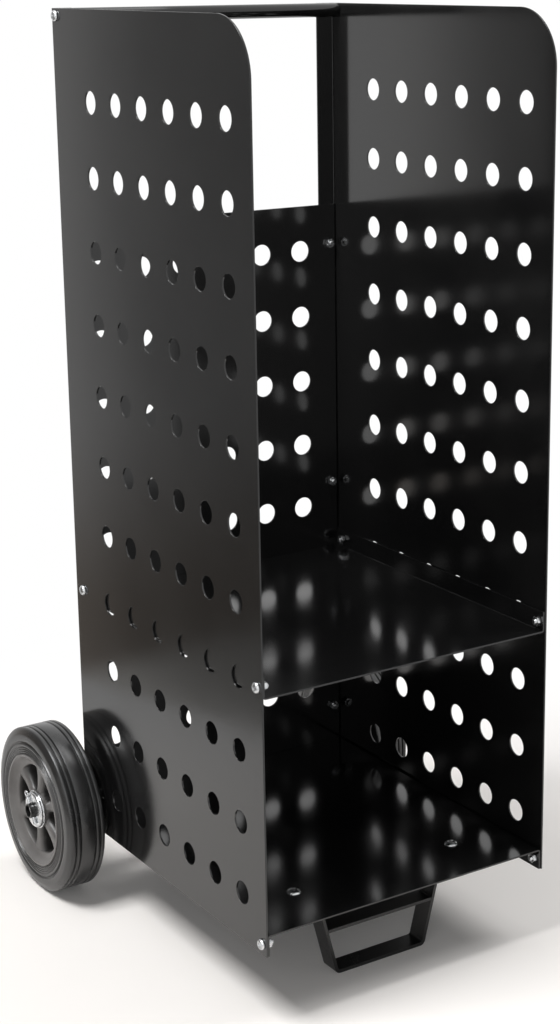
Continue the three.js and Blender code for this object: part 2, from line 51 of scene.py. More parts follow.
SHEET = 2.0 * MM
FOLD_RADIUS = 1.0 * MM
SHEET_EDGE = 0.3 * MM

HOLE_DIAMETER = 25 * MM
HOLE_SIDES = 44
ROW_PITCH = 80 * MM
SIDE_COLUMN_PITCH = 56.7 * MM
SIDE_ROWS, SIDE_COLUMNS = 11, 6
SIDE_TOP_MARGIN, SIDE_REAR_MARGIN = 97 * MM, 86 * MM
BACK_COLUMN_PITCH = 54 * MM
BACK_ROWS, BACK_COLUMNS = 8, 6
BACK_TOP_MARGIN = 54 * MM
BACK_SHIFT = -5 * MM
CORNER_RADIUS = 60 * MM

SCREW_RADIUS = 3 * MM
SCREW_HEAD_HEIGHT = 3.8 * MM
BOLT_HEAD_HEIGHT = 3.4 * MM
THREAD_PITCH = 1.0 * MM
NUT_APOTHEM = 5 * MM
THREADED_TAIL = 8.5 * MM
WASHER_RADIUS = 6.5 * MM

STRAP, STRAP_BEND = 4 * MM, 3 * MM
FOOT_HALF_BASE, FOOT_HALF_TOP = 60 * MM, 86 * MM
FOOT_BAR_HEIGHT = 56 * MM
BRACKET_SHEET, BRACKET_BEND = 3 * MM, 2 * MM

AXLE_RADIUS = 9 * MM
AXLE_BORE = 7 * MM
HUB_RADIUS = 22 * MM
HUB_HALF_LENGTH = 18.5 * MM
WHEEL_DISTANCE = 216 * MM
SPOKES = 6
FIRST_SPOKE = 23


# ------------------------------------------------------------------ meshes

def shade(mesh, sharp_angle):
    """Smooth shading, with the edges sharper than the angle kept crisp."""
    mesh.polygons.foreach_set("use_smooth", [True] * len(mesh.polygons))
    mesh.set_sharp_from_angle(angle=math.radians(sharp_angle))


def finished(name, bm, sharp_angle=32):
    """A linked object from a bmesh, closed, with its faces pointing outwards."""
    bmesh.ops.remove_doubles(bm, verts=bm.verts, dist=1e-7)
    bmesh.ops.recalc_face_normals(bm, faces=bm.faces)
    mesh = bpy.data.meshes.new(name)
    bm.to_mesh(mesh)
    bm.free()
    shade(mesh, sharp_angle)
    piece = bpy.data.objects.new(name, mesh)
    bpy.context.scene.collection.objects.link(piece)
    return piece


def plain(piece, sharp_angle=32):
    """Turns what the modifiers make of a piece into its own mesh."""
    evaluated = piece.evaluated_get(bpy.context.evaluated_depsgraph_get())
    mesh = bpy.data.meshes.new_from_object(evaluated)
    piece.modifiers.clear()
    piece.data = mesh
    shade(mesh, sharp_angle)
    return piece


def ring(bm, radius, x, steps, radius_at=None):
    """A ring of corners round the X axis, or one corner where the radius is nothing."""
    if radius < 1e-9:
        return [bm.verts.new((x, 0, 0))]
    made = []
    for i in range(steps):
        angle = 2 * math.pi * i / steps
        r = radius_at(radius, angle) if radius_at else radius
        made.append(bm.verts.new((x, r * math.cos(angle), r * math.sin(angle))))
    return made


def bridge(bm, a, b):
    """Faces between two rings."""
    count = max(len(a), len(b))
    if count == 1:
        return
    for i in range(count):
        j = (i + 1) % count
        corners = [a[i % len(a)], a[j % len(a)], b[j % len(b)], b[i % len(b)]]
        bm.faces.new(list(dict.fromkeys(corners)))


def add_turned(bm, profile, steps):
    """A closed profile of (radius, x) pairs turned round the X axis."""
    rings = [ring(bm, radius, x, steps) for radius, x in profile]
    for a, b in zip(rings, rings[1:] + rings[:1]):
        bridge(bm, a, b)


def turned(name, profile, steps, sharp_angle=32):
    bm = bmesh.new()
    add_turned(bm, profile, steps)
    return finished(name, bm, sharp_angle)


def both_sides(half):
    """A profile made whole by its mirror image in the middle plane."""
    return [(radius, -x) for radius, x in reversed(half)] + list(half)


def arc(centre, radius, start, end, steps):
    """Points of an arc in a plane, angles in degrees."""
    points = []
    for i in range(steps + 1):
        angle = math.radians(start + (end - start) * i / steps)
        points.append((centre[0] + radius * math.cos(angle), centre[1] + radius * math.sin(angle)))
    return points


def strip_outline(corners, thickness, inside_radius, steps=5):
    """Outline of a bent strip whose middle line has these corners."""
    near, far = [], []

    def pair(point, direction):
        offset = Vector((-direction.y, direction.x)) * (thickness / 2)
        near.append(point + offset)
        far.insert(0, point - offset)

    points = [Vector(c) for c in corners]
    headings = [(b - a).normalized() for a, b in zip(points, points[1:])]
    middle = inside_radius + thickness / 2
    pair(points[0], headings[0])
    for corner, before, after in zip(points[1:], headings, headings[1:]):
        turn = math.atan2(before.x * after.y - before.y * after.x, before.dot(after))
        start = corner - before * (middle * math.tan(abs(turn) / 2))
        centre = start + Vector((-before.y, before.x)) * math.copysign(middle, turn)
        for i in range(steps + 1):
            spin = Matrix.Rotation(turn * i / steps, 2)
            pair(centre + spin @ (start - centre), spin @ before)
    pair(points[-1], headings[-1])
    return near + far


def add_prism(bm, outline, place, start, end):
    """An outline drawn out between two levels; place(u, v, level) gives a corner in space."""
    low = [bm.verts.new(place(u, v, start)) for u, v in outline]
    high = [bm.verts.new(place(u, v, end)) for u, v in outline]
    bm.faces.new(low)
    bm.faces.new(high)
    bridge(bm, low, high)


def prism(name, outline, place, start, end):
    bm = bmesh.new()
    add_prism(bm, outline, place, start, end)
    return finished(name, bm)


def upright(u, v, level):
    return (u, v, level)


def across(u, v, level):
    return (level, u, v)


def lengthwise(u, v, level):
    return (u, level, v)


def cut_with(piece, tool, operation="DIFFERENCE"):
    """Cuts one piece with another, or joins them, and removes the tool."""
    modifier = piece.modifiers.new("cut", "BOOLEAN")
    modifier.operation = operation
    modifier.solver = "EXACT"
    modifier.object = tool
    plain(piece)
    bpy.data.objects.remove(tool)
    return piece


def ease_edges(piece, width, segments=2, angle=50):
    """Rounds the crisp edges, as a coat of powder does, and keeps the wide faces flat."""
    modifier = piece.modifiers.new("eased edges", "BEVEL")
    modifier.width = width
    modifier.segments = segments
    modifier.limit_method = "ANGLE"
    modifier.angle_limit = math.radians(angle)
    modifier.use_clamp_overlap = False
    plain(piece, 60)
    weighting = piece.modifiers.new("flat faces", "WEIGHTED_NORMAL")
    weighting.weight = 100
    weighting.keep_sharp = True
    evaluated = piece.evaluated_get(bpy.context.evaluated_depsgraph_get())
    mesh = bpy.data.meshes.new_from_object(evaluated)
    piece.modifiers.clear()
    piece.data = mesh
    return piece


# ------------------------------------------------------------------ node helpers

def node(tree, kind, sockets=None, **settings):
    """A node with its settings, its values set and its inputs linked."""
    made = tree.nodes.new(kind)
    for key, value in settings.items():
        setattr(made, key, value)
    for key, value in (sockets or {}).items():
        if isinstance(value, bpy.types.NodeSocket):
            tree.links.new(value, made.inputs[key])
        else:
            made.inputs[key].default_value = value
    return made


def new_group(name, kind, inputs, outputs):
    """A node group with named inputs and outputs. Returns the tree, its input node and its output node."""
    tree = bpy.data.node_groups.new(name, kind)
    for in_out, sockets in (("INPUT", inputs), ("OUTPUT", outputs)):
        for label, socket_type, *default in sockets:
            socket = tree.interface.new_socket(label, in_out=in_out, socket_type=socket_type)
            if default:
                socket.default_value = default[0]
    return tree, tree.nodes.new("NodeGroupInput").outputs, tree.nodes.new("NodeGroupOutput").inputs


def math_node(tree, operation, a, b=0.0):
    return node(tree, "ShaderNodeMath", {0: a, 1: b}, operation=operation).outputs[0]


GEOMETRY = "NodeSocketGeometry"
FLOAT = "NodeSocketFloat"
INTEGER = "NodeSocketInt"
VECTOR = "NodeSocketVector"
COLOUR = "NodeSocketColor"


def run_tree(piece, tree, values, sharp_angle=32):
    """Runs a geometry tree on a piece and keeps the plain mesh."""
    modifier = piece.modifiers.new(tree.name, "NODES")
    modifier.node_group = tree
    names = {s.name: s.identifier for s in tree.interface.items_tree if s.in_out == "INPUT"}
    for label, value in values.items():
        modifier[names[label]] = value
    return plain(piece, sharp_angle)


def perforation_tree():
    """Punches a field of round holes through a sheet."""
    tree, given, result = new_group("perforation", "GeometryNodeTree", [
        ("Geometry", GEOMETRY),
        ("Rows", INTEGER, 1),
        ("Columns", INTEGER, 1),
        ("Row Pitch", FLOAT, 0.08),
        ("Column Pitch", FLOAT, 0.05),
        ("Hole Diameter", FLOAT, 0.025),
        ("Hole Sides", INTEGER, 32),
        ("Middle", VECTOR),
        ("Turn", VECTOR),
        ("Finish", "NodeSocketMaterial"),
    ], [("Geometry", GEOMETRY)])
    width = math_node(tree, "MULTIPLY", math_node(tree, "SUBTRACT", given["Columns"], 1.0), given["Column Pitch"])
    height = math_node(tree, "MULTIPLY", math_node(tree, "SUBTRACT", given["Rows"], 1.0), given["Row Pitch"])
    field = node(tree, "GeometryNodeMeshGrid", {
        "Size X": width, "Size Y": height, "Vertices X": given["Columns"], "Vertices Y": given["Rows"],
    })
    punch = node(tree, "GeometryNodeMeshCylinder", {
        "Vertices": given["Hole Sides"],
        "Radius": math_node(tree, "MULTIPLY", given["Hole Diameter"], 0.5),
        "Depth": given["Hole Diameter"],
    })
    punches = node(tree, "GeometryNodeInstanceOnPoints", {
        "Points": field.outputs["Mesh"], "Instance": punch.outputs["Mesh"],
    })
    placed = node(tree, "GeometryNodeTransform", {
        "Geometry": punches.outputs["Instances"], "Translation": given["Middle"], "Rotation": given["Turn"],
    })
    solid = node(tree, "GeometryNodeRealizeInstances", {"Geometry": placed.outputs["Geometry"]})
    sheet = node(tree, "GeometryNodeMeshBoolean", {
        "Mesh 1": given["Geometry"], "Mesh 2": solid.outputs["Geometry"],
    }, operation="DIFFERENCE", solver="EXACT")
    finish = node(tree, "GeometryNodeSetMaterial", {
        "Geometry": sheet.outputs["Mesh"], "Material": given["Finish"],
    })
    tree.links.new(finish.outputs["Geometry"], result["Geometry"])
    return tree


def copies_tree():
    """Sets a fastener on each point, turned along the point's own direction and twisted at random."""
    tree, given, result = new_group("fastener copies", "GeometryNodeTree", [
        ("Geometry", GEOMETRY),
        ("Fastener", "NodeSocketObject"),
        ("Largest Twist", FLOAT, 6.2832),
        ("Seed", INTEGER, 1),
        ("Finish", "NodeSocketMaterial"),
    ], [("Geometry", GEOMETRY)])
    unit = node(tree, "GeometryNodeObjectInfo", {"Object": given["Fastener"]})
    facing = node(tree, "GeometryNodeInputNamedAttribute", {"Name": "facing"}, data_type="FLOAT_VECTOR")
    aimed = node(tree, "FunctionNodeAlignRotationToVector", {
        "Vector": facing.outputs["Attribute"],
    }, axis="X")
    chance = node(tree, "FunctionNodeRandomValue", {"Seed": given["Seed"]}, data_type="FLOAT")
    twist = math_node(tree, "MULTIPLY", chance.outputs[1], given["Largest Twist"])
    about = node(tree, "ShaderNodeCombineXYZ", {"X": twist})
    spin = node(tree, "FunctionNodeEulerToRotation", {"Euler": about.outputs["Vector"]})
    turned_by = node(tree, "FunctionNodeRotateRotation", {
        "Rotation": aimed.outputs["Rotation"], "Rotate By": spin.outputs["Rotation"],
    }, rotation_space="LOCAL")
    copies = node(tree, "GeometryNodeInstanceOnPoints", {
        "Points": given["Geometry"],
        "Instance": unit.outputs["Geometry"],
        "Rotation": turned_by.outputs["Rotation"],
    })
    solid = node(tree, "GeometryNodeRealizeInstances", {"Geometry": copies.outputs["Instances"]})
    finish = node(tree, "GeometryNodeSetMaterial", {
        "Geometry": solid.outputs["Geometry"], "Material": given["Finish"],
    })
    tree.links.new(finish.outputs["Geometry"], result["Geometry"])
    return tree


def spokes_tree():
    """Joins a ring of spokes to a hub and a barrel."""
    tree, given, result = new_group("spoke ring", "GeometryNodeTree", [
        ("Geometry", GEOMETRY),
        ("Spoke", "NodeSocketObject"),
        ("Count", INTEGER, 6),
        ("First Angle", FLOAT, 0.0),
        ("Finish", "NodeSocketMaterial"),
    ], [("Geometry", GEOMETRY)])
    unit = node(tree, "GeometryNodeObjectInfo", {"Object": given["Spoke"]})
    points = node(tree, "GeometryNodePoints", {"Count": given["Count"]})
    index = node(tree, "GeometryNodeInputIndex")
    share = math_node(tree, "DIVIDE", index.outputs[0], given["Count"])
    angle = math_node(tree, "ADD", math_node(tree, "MULTIPLY", share, 2 * math.pi), given["First Angle"])
    about = node(tree, "ShaderNodeCombineXYZ", {"X": angle})
    spin = node(tree, "FunctionNodeEulerToRotation", {"Euler": about.outputs["Vector"]})
    copies = node(tree, "GeometryNodeInstanceOnPoints", {
        "Points": points.outputs[0],
        "Instance": unit.outputs["Geometry"],
        "Rotation": spin.outputs["Rotation"],
    })
    solid = node(tree, "GeometryNodeRealizeInstances", {"Geometry": copies.outputs["Instances"]})
    whole = node(tree, "GeometryNodeMeshBoolean", {"Mesh 2": given["Geometry"]},
                 operation="UNION", solver="EXACT")
    tree.links.new(solid.outputs["Geometry"], whole.inputs["Mesh 2"])
    finish = node(tree, "GeometryNodeSetMaterial", {
        "Geometry": whole.outputs["Mesh"], "Material": given["Finish"],
    })
    tree.links.new(finish.outputs["Geometry"], result["Geometry"])
    return tree


# ------------------------------------------------------------------ shader groups

def noise(tree, vector, scale, detail=2.0, roughness=0.5):
    return node(tree, "ShaderNodeTexNoise", {
        "Vector": vector, "Scale": scale, "Detail": detail, "Roughness": roughness,
    }).outputs[0]


def spread(tree, value, low, high, to_low=0.0, to_high=1.0):
    """Maps a range of a value to another, with soft ends."""
    return node(tree, "ShaderNodeMapRange", {
        "Value": value, "From Min": low, "From Max": high, "To Min": to_low, "To Max": to_high,
    }, interpolation_type="SMOOTHSTEP").outputs[0]


def blended(tree, factor, a, b):
    mix = node(tree, "ShaderNodeMix", {0: factor, 6: a, 7: b}, data_type="RGBA")
    return mix.outputs[2]


def coat_skin_group():
    """Baked powder: the fine orange peel of the surface and the slow change of its gloss."""
    tree, given, result = new_group("coat skin", "ShaderNodeTree", [
        ("Vector", VECTOR),
        ("Peel Scale", FLOAT, 420.0),
        ("Deep Tone", COLOUR),
        ("Pale Tone", COLOUR),
        ("Least Roughness", FLOAT, 0.1),
        ("Most Roughness", FLOAT, 0.2),
    ], [("Colour", COLOUR), ("Roughness", FLOAT), ("Height", FLOAT)])
    cloud = noise(tree, given["Vector"], 7.0, 3.0)
    fleck = noise(tree, given["Vector"], 160.0, 1.0)
    peel = noise(tree, given["Vector"], given["Peel Scale"], 1.5)
    tone = spread(tree, math_node(tree, "ADD", math_node(tree, "MULTIPLY", fleck, 0.5), cloud), 0.5, 1.0)
    tree.links.new(blended(tree, tone, given["Deep Tone"], given["Pale Tone"]), result["Colour"])
    gloss = spread(tree, cloud, 0.3, 0.7, given["Least Roughness"], given["Most Roughness"])
    tree.links.new(gloss, result["Roughness"])
    tree.links.new(peel, result["Height"])
    return tree


def dust_group():
    """Fine dust that settles in patches: a mask with scattered specks."""
    tree, given, result = new_group("settled dust", "ShaderNodeTree", [
        ("Vector", VECTOR), ("Speck Scale", FLOAT, 500.0), ("Amount", FLOAT, 0.2),
    ], [("Mask", FLOAT)])
    patch = spread(tree, noise(tree, given["Vector"], 11.0, 4.0, 0.65), 0.45, 0.75)
    speck = spread(tree, noise(tree, given["Vector"], given["Speck Scale"], 0.0), 0.66, 0.8)
    both = math_node(tree, "ADD", math_node(tree, "MULTIPLY", patch, 0.35),
                     math_node(tree, "MULTIPLY", speck, 0.65))
    tree.links.new(math_node(tree, "MULTIPLY", both, given["Amount"]), result["Mask"])
    return tree


def plating_group():
    """Zinc plate: cloudy tone and roughness over a fine rolled grain."""
    tree, given, result = new_group("zinc plating", "ShaderNodeTree", [
        ("Vector", VECTOR), ("Bright Tone", COLOUR), ("Dull Tone", COLOUR),
    ], [("Colour", COLOUR), ("Roughness", FLOAT), ("Height", FLOAT)])
    cloud = noise(tree, given["Vector"], 180.0, 4.0, 0.6)
    grain = noise(tree, given["Vector"], 1500.0, 2.0)
    tree.links.new(blended(tree, spread(tree, cloud, 0.35, 0.7), given["Bright Tone"], given["Dull Tone"]),
                   result["Colour"])
    tree.links.new(spread(tree, cloud, 0.3, 0.75, 0.16, 0.34), result["Roughness"])
    tree.links.new(grain, result["Height"])
    return tree


def moulding_group():
    """Moulded surface: a fine grain with broad, faint flow marks."""
    tree, given, result = new_group("moulded grain", "ShaderNodeTree", [
        ("Vector", VECTOR), ("Grain Scale", FLOAT, 900.0),
        ("Deep Tone", COLOUR), ("Pale Tone", COLOUR),
        ("Least Roughness", FLOAT, 0.4), ("Most Roughness", FLOAT, 0.6),
    ], [("Colour", COLOUR), ("Roughness", FLOAT), ("Height", FLOAT)])
    flow = noise(tree, given["Vector"], 22.0, 3.0, 0.6)
    grain = noise(tree, given["Vector"], given["Grain Scale"], 3.0, 0.7)
    tree.links.new(blended(tree, spread(tree, flow, 0.3, 0.7), given["Deep Tone"], given["Pale Tone"]),
                   result["Colour"])
    rough = spread(tree, math_node(tree, "ADD", math_node(tree, "MULTIPLY", grain, 0.4),
                                   math_node(tree, "MULTIPLY", flow, 0.6)),
                   0.3, 0.7, given["Least Roughness"], given["Most Roughness"])
    tree.links.new(rough, result["Roughness"])
    tree.links.new(grain, result["Height"])
    return tree


COAT_SKIN = coat_skin_group()
DUST = dust_group()
PLATING = plating_group()
MOULDING = moulding_group()


def window_shade_group():
    """Painted shade in the windows between the spokes: a patchy mask that grows with the depth below a rim's
    faces, where shade falls.
    """
    tree, given, result = new_group("window painted shade", "ShaderNodeTree", [
        ("Vector", VECTOR),
        ("Wheel Distance", FLOAT, 0.2),
        ("Clean Above", FLOAT, 0.017),
        ("Full Below", FLOAT, 0.012),
    ], [("Mask", FLOAT)])
    sideways = node(tree, "ShaderNodeSeparateXYZ", {0: given["Vector"]}).outputs["X"]
    offset = math_node(tree, "SUBTRACT", math_node(tree, "ABSOLUTE", sideways), given["Wheel Distance"])
    depth = math_node(tree, "ABSOLUTE", offset)
    # painted shade: full deep below the rim's faces, none near them
    dust_and_shade_layer = spread(tree, depth, given["Full Below"], given["Clean Above"], 1.0, 0.0)
    patchy = spread(tree, noise(tree, given["Vector"], 60.0, 3.0), 0.2, 0.6, 0.75, 1.0)
    tree.links.new(math_node(tree, "MULTIPLY", dust_and_shade_layer, patchy), result["Mask"])
    return tree


WINDOW_SHADE = window_shade_group()
DUST_COLOUR = (0.33, 0.31, 0.29, 1.0)
# colour of the painted shade in the rim's windows
WINDOW_SHADE_COLOUR = (0.022, 0.021, 0.020, 1.0)


def surface_material(name, group, values, bump, metallic=0.0, ior=1.5, dust=None, wheel_distance=None):
    """A material whose colour, roughness and bump come from a group, with dust and, where asked, painted shade in
    a rim's windows.
    """
    material = bpy.data.materials.new(name)
    material.use_nodes = True
    tree = material.node_tree
    tree.nodes.clear()
    place = node(tree, "ShaderNodeTexCoord").outputs["Object"]
    skin = node(tree, "ShaderNodeGroup", node_tree=group)
    tree.links.new(place, skin.inputs["Vector"])
    for key, value in values.items():
        skin.inputs[key].default_value = value
    colour = skin.outputs["Colour"]
    roughness = skin.outputs["Roughness"]
    if dust:
        dust_and_shade_layer = node(tree, "ShaderNodeGroup", node_tree=DUST)
        tree.links.new(place, dust_and_shade_layer.inputs["Vector"])
        dust_and_shade_layer.inputs["Amount"].default_value = dust
        colour = blended(tree, dust_and_shade_layer.outputs["Mask"], colour, DUST_COLOUR)
        roughness = math_node(tree, "ADD", roughness, math_node(tree, "MULTIPLY", dust_and_shade_layer.outputs["Mask"], 0.8))
    if wheel_distance:
        # painted shade: the colour darkens in the rim's windows, deeper with depth below the faces
        dust_and_shade_layer = node(tree, "ShaderNodeGroup", node_tree=WINDOW_SHADE)
        tree.links.new(place, dust_and_shade_layer.inputs["Vector"])
        dust_and_shade_layer.inputs["Wheel Distance"].default_value = wheel_distance
        colour = blended(tree, dust_and_shade_layer.outputs["Mask"], colour, WINDOW_SHADE_COLOUR)
    relief = node(tree, "ShaderNodeBump", {
        "Height": skin.outputs["Height"], "Strength": bump[0], "Distance": bump[1],
    })
    shader = node(tree, "ShaderNodeBsdfPrincipled", {
        "Base Color": colour,
        "Roughness": roughness,
        "Normal": relief.outputs["Normal"],
        "Metallic": metallic,
        "IOR": ior,
    })
    output = node(tree, "ShaderNodeOutputMaterial", {"Surface": shader.outputs["BSDF"]})
    output.is_active_output = True
    return material


black_gloss = surface_material("black_gloss_coat", COAT_SKIN, {
    "Peel Scale": 380.0,
    "Deep Tone": (0.0052, 0.0052, 0.0054, 1.0),
    "Pale Tone": (0.0078, 0.0078, 0.0078, 1.0),
    "Least Roughness": 0.10,
    "Most Roughness": 0.15,
}, (0.25, 0.00004), ior=1.55, dust=0.008)
black_satin = surface_material("black_satin_coat", COAT_SKIN, {
    "Peel Scale": 600.0,
    "Deep Tone": (0.006, 0.006, 0.0062, 1.0),
    "Pale Tone": (0.011, 0.011, 0.011, 1.0),
    "Least Roughness": 0.26,
    "Most Roughness": 0.36,
}, (0.5, 0.00006), ior=1.5, dust=0.02)
zinc = surface_material("zinc_plate", PLATING, {
    "Bright Tone": (0.70, 0.71, 0.72, 1.0),
    "Dull Tone": (0.46, 0.47, 0.48, 1.0),
}, (0.3, 0.00002), metallic=1.0)
rubber = surface_material("tyre_rubber", MOULDING, {
    "Grain Scale": 1100.0,
    "Deep Tone": (0.007, 0.007, 0.0072, 1.0),
    "Pale Tone": (0.012, 0.012, 0.0123, 1.0),
    "Least Roughness": 0.26,
    "Most Roughness": 0.36,
}, (0.35, 0.00006), ior=1.62, dust=0.012)
# the rim plastic gets painted shade in its windows through wheel_distance
grey_plastic = surface_material("grey_plastic", MOULDING, {
    "Grain Scale": 1500.0,
    "Deep Tone": (0.108, 0.103, 0.100, 1.0),
    "Pale Tone": (0.138, 0.133, 0.130, 1.0),
    "Least Roughness": 0.3,
    "Most Roughness": 0.42,
}, (0.4, 0.00006), ior=1.46, dust=0.03, wheel_distance=WHEEL_DISTANCE)


def hand_over(piece, body, slot_name, material, *nodes):
    """Gives a finished piece its material and its body, and hides the solids that it stands for."""
    piece.data.materials.clear()
    piece.data.materials.append(material)
    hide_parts(*nodes)
    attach(piece, body)
    return piece


# ------------------------------------------------------------------ perforated sheets

perforation = perforation_tree()


def punched(piece, rows, columns, column_pitch, middle, turn):
    return run_tree(piece, perforation, {
        "Rows": rows,
        "Columns": columns,
        "Row Pitch": ROW_PITCH,
        "Column Pitch": column_pitch,
        "Hole Diameter": HOLE_DIAMETER,
        "Hole Sides": HOLE_SIDES,
        "Middle": middle,
        "Turn": turn,
        "Finish": black_gloss,
    })


def side_sheet(side_name):
    """Side panel with its rear flange folded inwards, its top front corner rounded."""
    side = SIDES[side_name]
    low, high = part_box(f"{side_name}_side_panel")
    outer, inner = (low.x, high.x) if side < 0 else (high.x, low.x)
    plan = strip_outline([
        (outer - side * SHEET / 2, low.y),
        (outer - side * SHEET / 2, high.y - SHEET / 2),
        (inner, high.y - SHEET / 2),
    ], SHEET, FOLD_RADIUS)
    sheet = prism(f"side_sheet_{side_name}", plan, upright, low.z, high.z)
    spare = 5 * MM
    centre = (low.y + CORNER_RADIUS, high.z - CORNER_RADIUS)
    waste = arc(centre, CORNER_RADIUS, 90, 180, 28)
    waste += [(low.y - spare, centre[1]), (low.y - spare, high.z + spare), (centre[0], high.z + spare)]
    cut_with(sheet, prism("waste", waste, across, low.x - spare, high.x + spare))
    rear_column = high.y - SIDE_REAR_MARGIN
    top_row = high.z - SIDE_TOP_MARGIN
    middle = (
        outer - side * SHEET / 2,
        rear_column - (SIDE_COLUMNS - 1) / 2 * SIDE_COLUMN_PITCH,
        top_row - (SIDE_ROWS - 1) / 2 * ROW_PITCH,
    )
    punched(sheet, SIDE_ROWS, SIDE_COLUMNS, SIDE_COLUMN_PITCH, middle, (math.pi / 2, 0, math.pi / 2))
    ease_edges(sheet, SHEET_EDGE)
    return hand_over(sheet, "cart_frame", "black_gloss_coat", black_gloss, f"{side_name}_side_panel")


for side_name in SIDES:
    side_sheet(side_name)


def back_sheet():
    low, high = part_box("back_panel")
    outline = [(low.x, low.z), (high.x, low.z), (high.x, high.z), (low.x, high.z)]
    sheet = prism("back_sheet", outline, lengthwise, low.y, high.y)
    top_row = high.z - BACK_TOP_MARGIN
    middle = (BACK_SHIFT, (low.y + high.y) / 2, top_row - (BACK_ROWS - 1) / 2 * ROW_PITCH)
    punched(sheet, BACK_ROWS, BACK_COLUMNS, BACK_COLUMN_PITCH, middle, (math.pi / 2, 0, 0))
    ease_edges(sheet, SHEET_EDGE)
    return hand_over(sheet, "cart_frame", "black_gloss_coat", black_gloss, "back_panel")


back_sheet()


def tray(name, node_name, flange_up):
    """Shelf with a flange folded along each side."""
    low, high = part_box(node_name)
    surface = low.z if flange_up else high.z
    level = surface + SHEET / 2 if flange_up else surface - SHEET / 2
    end = high.z if flange_up else low.z
    section = strip_outline([
        (low.x + SHEET / 2, end),
        (low.x + SHEET / 2, level),
        (high.x - SHEET / 2, level),
        (high.x - SHEET / 2, end),
    ], SHEET, FOLD_RADIUS)
    sheet = prism(name, section, lengthwise, low.y, high.y)
    ease_edges(sheet, SHEET_EDGE)
    return hand_over(sheet, "cart_frame", "black_gloss_coat", black_gloss, node_name)


tray("upper_tray", "upper_shelf", True)
tray("lower_tray", "lower_shelf", False)


# ------------------------------------------------------------------ handle

def handle():
    """Round tube with a threaded plug welded into each end."""
    low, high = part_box("handle_tube")
    radius = (high.z - low.z) / 2
    edge = 0.5 * MM
    plug = 20 * MM
    bore = radius - 1.5 * MM
    half = high.x
    profile = both_sides([
        (bore, half - plug),
        (SCREW_RADIUS, half - plug),
        (SCREW_RADIUS, half),
        (radius - edge, half),
        (radius - edge * 0.3, half - edge * 0.3),
        (radius, half - edge),
    ])
    tube = turned("handle", profile, 56)
    tube.data.transform(Matrix.Translation((0, (low.y + high.y) / 2, (low.z + high.z) / 2)))
    return hand_over(tube, "cart_frame", "black_gloss_coat", black_gloss, "handle_tube")


handle()


# ------------------------------------------------------------------ fasteners
# A fastener is drawn along X: its head or free face looks to +X and its seat is at 0.

def add_thread(bm, start, end, steps=18):
    """A rolled thread from start up to end, along X, closed at both ends."""
    turns = max(2, round((start - end) / THREAD_PITCH * 6))
    rings = [[bm.verts.new((start, 0, 0))]]
    for i in range(turns + 1):
        x = start + (end - start) * i / turns
        fade = min(1.0, (x - end) / (0.8 * THREAD_PITCH))
        made = []
        for j in range(steps):
            angle = 2 * math.pi * j / steps
            phase = (x / THREAD_PITCH + j / steps) % 1.0
            depth = 0.5 * MM * abs(2 * phase - 1) + 0.35 * MM * (1 - fade)
            radius = SCREW_RADIUS - depth
            made.append(bm.verts.new((x, radius * math.cos(angle), radius * math.sin(angle))))
        rings.append(made)
    rings.append([bm.verts.new((end, 0, 0))])
    for a, b in zip(rings, rings[1:]):
        bridge(bm, a, b)


def crossed_screw(length, threaded_from):
    """Pan-head screw with a cross recess."""
    height = SCREW_HEAD_HEIGHT
    head = [
        (0, height), (2.6, height), (3.9, height - 0.25 * MM), (4.8, height - 0.75 * MM),
        (5.5, height - 1.5 * MM), (5.9, height - 2.5 * MM), (6.0, 0.35 * MM), (5.85, 0),
    ]
    profile = [(radius * MM, x) for radius, x in head]
    profile += [(SCREW_RADIUS - 0.3 * MM, 0), (SCREW_RADIUS - 0.3 * MM, -threaded_from), (0, -threaded_from)]
    screw = turned("screw", profile, 32, 40)
    for turn in (0, math.pi / 2):
        bm = bmesh.new()
        depth, reach, half_width = 2.3 * MM, 3.3 * MM, 0.6 * MM
        corners = []
        mouth = (height + 0.5 * MM, reach * 1.1, half_width * 1.15)
        floor = (height - depth, reach * 0.35, half_width * 0.7)
        for x, r, w in (mouth, floor):
            corners.append([bm.verts.new((x, a, b)) for a, b in ((-r, -w), (r, -w), (r, w), (-r, w))])
        bm.faces.new(corners[0])
        bm.faces.new(corners[1])
        bridge(bm, corners[0], corners[1])
        slot_tool = finished("recess", bm)
        slot_tool.data.transform(Matrix.Rotation(turn + 0.0001, 4, "X"))
        cut_with(screw, slot_tool)
    bm = bmesh.new()
    bm.from_mesh(screw.data)
    add_thread(bm, -threaded_from, -length)
    bpy.data.objects.remove(screw)
    return finished("crossed screw", bm, 38)


def round_bolt(length, threaded_from):
    """Round-headed bolt."""
    height = BOLT_HEAD_HEIGHT
    head = [
        (0, height), (2.2, height - 0.08 * MM), (4.2, height - 0.45 * MM), (6.0, height - 1.2 * MM),
        (7.3, height - 2.1 * MM), (7.9, height - 2.9 * MM), (8.0, 0.2 * MM), (7.8, 0),
    ]
    profile = [(radius * MM, x) for radius, x in head]
    profile += [(SCREW_RADIUS - 0.3 * MM, 0), (SCREW_RADIUS - 0.3 * MM, -threaded_from), (0, -threaded_from)]
    bm = bmesh.new()
    add_turned(bm, profile, 36)
    add_thread(bm, -threaded_from, -length)
    return finished("round bolt", bm, 38)


